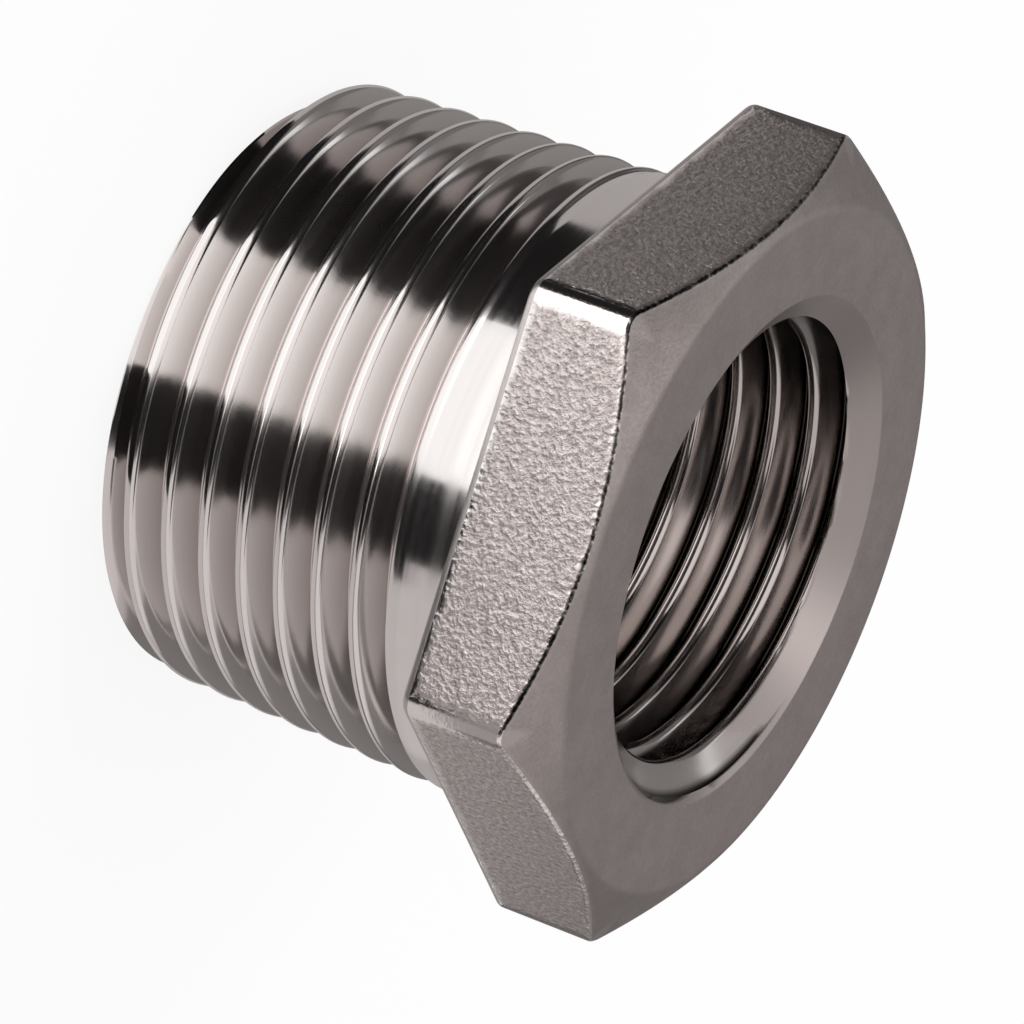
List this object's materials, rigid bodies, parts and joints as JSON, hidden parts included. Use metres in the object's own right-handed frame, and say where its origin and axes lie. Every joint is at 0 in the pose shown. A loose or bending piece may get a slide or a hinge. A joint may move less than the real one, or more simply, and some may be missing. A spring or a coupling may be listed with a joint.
{
  "type": "hexagon reducing bush",
  "caption": "Stainless steel reducing adapter: hexagon head with a countersunk female pipe thread, and a larger taper male thread below it.",
  "frame": {"origin": "centre of the flat end of the male thread, on which the part stands", "axes": "+Z along the common thread axis, from the male thread's small end to the front face of the hexagon head; +X is square to one pair of spanner flats, and +Y runs through two opposite corners"},
  "size_m": [0.03, 0.0344, 0.0232],
  "materials": {
    "stainless_steel": "investment-cast stainless steel: blasted cast flats, turned and satin-finished faces, cut threads"
  },
  "bodies": {
    "root": {"bush": "stainless_steel"}
  },
  "joints": []
}
